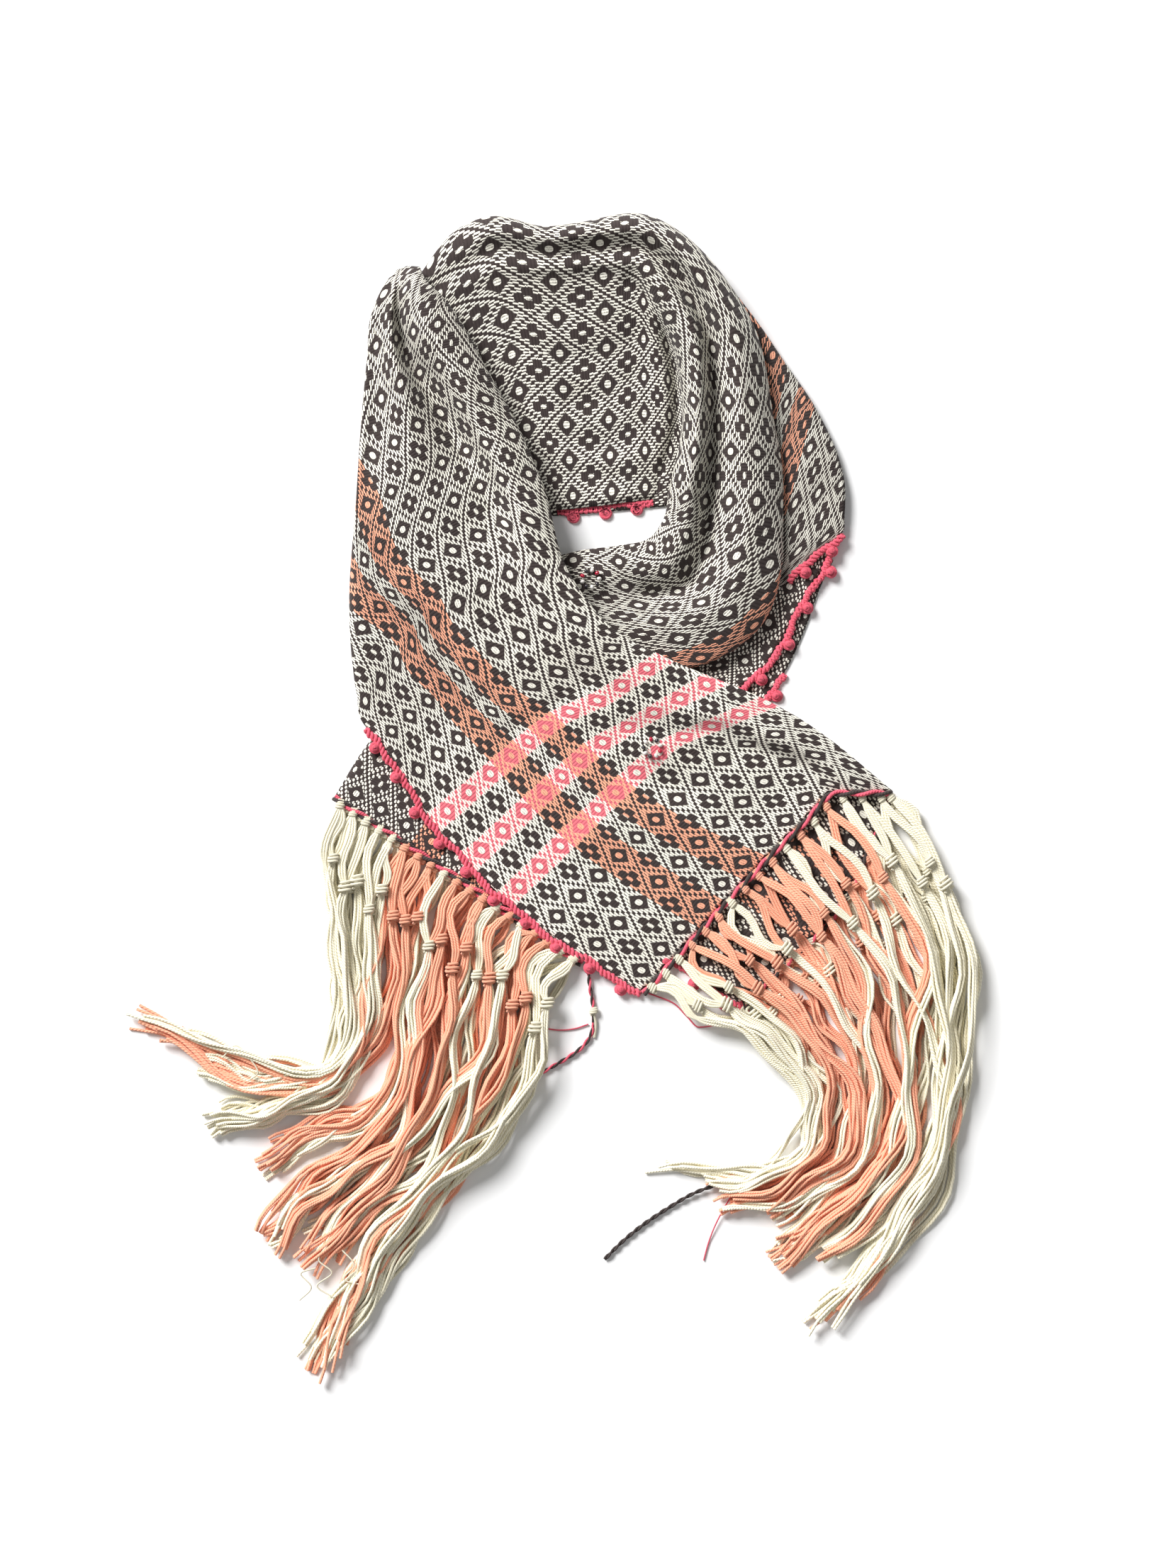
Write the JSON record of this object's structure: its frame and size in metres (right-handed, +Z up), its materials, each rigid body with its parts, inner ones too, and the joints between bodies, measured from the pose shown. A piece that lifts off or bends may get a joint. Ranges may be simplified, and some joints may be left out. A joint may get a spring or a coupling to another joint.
{
  "type": "fringed woven scarf, looped and laid flat",
  "caption": "Handwoven cotton scarf, looped as if round a neck and laid flat, with crossed tails, picot-edged selvedges and long knotted fringe.",
  "frame": {"origin": "middle of the scarf's plan, on the surface that it lies on", "axes": "+Z up from the surface, +Y towards the neck loop, +X to the right as seen from above"},
  "size_m": [0.575, 0.7781, 0.0358],
  "materials": {
    "woven_cotton": "matt handwoven diamond twill of cream and coral warp on dark brown weft",
    "crochet_cotton": "matt crimson pink crocheted cotton",
    "fringe_cotton": "matt cream and coral cotton yarn, twined hem cord of dark brown and pink"
  },
  "bodies": {
    "root": {"front_stretch": "woven_cotton", "front_tail_under": "woven_cotton", "neck_back": "woven_cotton", "neck_back_under": "woven_cotton", "right_rolls": "woven_cotton", "outer_panel": "woven_cotton", "left_tail": "woven_cotton", "left_tail_under": "woven_cotton", "front_edging": "crochet_cotton", "panel_edging": "crochet_cotton", "second_layer_edging": "crochet_cotton", "third_layer_edging": "crochet_cotton", "front_under_edging": "crochet_cotton", "neck_edging": "crochet_cotton", "fringe_right": "fringe_cotton", "fringe_right_under": "fringe_cotton", "fringe_left": "fringe_cotton", "fringe_left_under": "fringe_cotton"}
  },
  "joints": []
}
